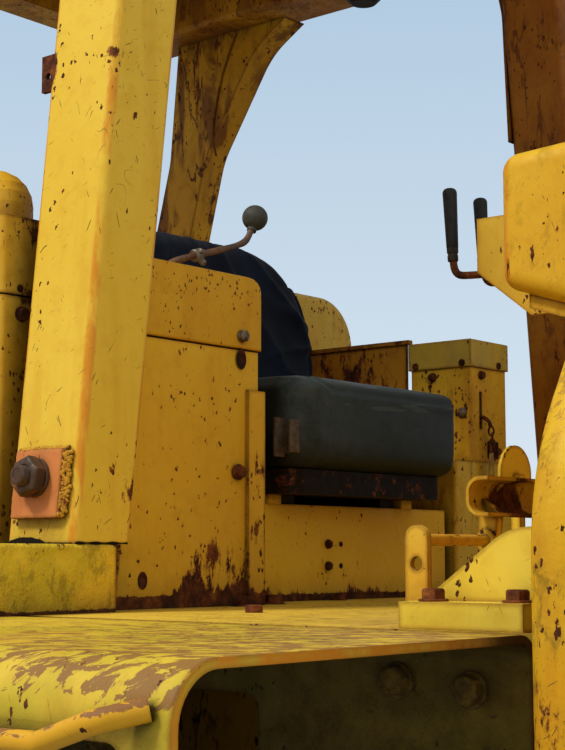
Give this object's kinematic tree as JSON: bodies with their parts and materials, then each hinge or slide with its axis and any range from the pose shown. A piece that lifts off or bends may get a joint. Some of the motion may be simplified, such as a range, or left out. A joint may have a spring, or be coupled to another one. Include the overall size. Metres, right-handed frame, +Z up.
{
  "type": "bulldozer operator station",
  "caption": "Open operator station of a crawler tractor: deck and fenders, four-post canopy, seat, consoles, steering levers, tank and cowl.",
  "frame": {"origin": "centre of the four chassis bolt holes, on the plane under the feet", "axes": "+X forward, +Y to the operator's left, +Z up"},
  "size_m": [2.632, 2.962, 1.917],
  "materials": {
    "yellow_paint": "weathered",
    "rusted_steel": "rusted",
    "grey_steel": "worn",
    "black_vinyl": "worn",
    "blue_cloth": "matte",
    "black_plastic": "matte",
    "dark_paint": "satin"
  },
  "bodies": {
    "station": {"floor_deck": "yellow_paint", "frame_rail_right": "yellow_paint", "frame_rail_left": "yellow_paint", "frame_crossmembers": "yellow_paint", "fender_right": "yellow_paint", "fender_left": "yellow_paint", "grab_handles": "yellow_paint", "post_front_right": "yellow_paint", "post_front_left": "yellow_paint", "post_flares": "yellow_paint", "post_blocks": "rusted_steel", "post_plates": "rusted_steel", "post_rear_right": "yellow_paint", "post_rear_left": "yellow_paint", "post_feet_rear": "rusted_steel", "roof_rail_right": "yellow_paint", "roof_rail_left": "yellow_paint", "roof_crossbeams": "yellow_paint", "roof_panel": "yellow_paint", "roof_lamp": "grey_steel", "seat_pedestal": "dark_paint", "seat_tracks": "grey_steel", "console_body": "yellow_paint", "console_cover": "yellow_paint", "blade_lever": "grey_steel", "left_console": "yellow_paint", "control_tower": "yellow_paint", "tower_cap": "yellow_paint", "left_side_plate": "rusted_steel", "fuel_tank": "yellow_paint", "tank_filler_cap": "dark_paint", "filter_housing": "yellow_paint", "filter_head": "yellow_paint", "cowl": "yellow_paint", "dash": "yellow_paint", "lever_bracket": "yellow_paint", "brake_pedal": "yellow_paint", "round_pedal": "yellow_paint", "pedal_bracket": "rusted_steel", "cowl_brackets": "yellow_paint"},
    "seat": {"seat_pan": "dark_paint", "seat_cushion": "black_vinyl"},
    "backrest": {"back_frame": "dark_paint", "back_cushion": "blue_cloth"},
    "right_lever": {"steering_lever_right": "black_plastic"},
    "left_lever": {"steering_lever_left": "black_plastic"}
  },
  "joints": [
    {"name": "seat_slide", "type": "slide", "parent": "station", "child": "seat", "axis": [1, 0, 0], "range_m": [-0.03, 0.1]},
    {"name": "back_recline", "type": "hinge", "parent": "seat", "child": "backrest", "pos_m": [-0.185, 0, 0.56], "axis": [0, -1, 0], "range_deg": [0, 6]},
    {"name": "right_steering", "type": "hinge", "parent": "station", "child": "right_lever", "pos_m": [0.655, -0.104, 0.85], "axis": [0, -1, 0], "range_deg": [0, 18]},
    {"name": "left_steering", "type": "hinge", "parent": "station", "child": "left_lever", "pos_m": [0.655, -0.018, 0.85], "axis": [0, -1, 0], "range_deg": [0, 18]}
  ]
}
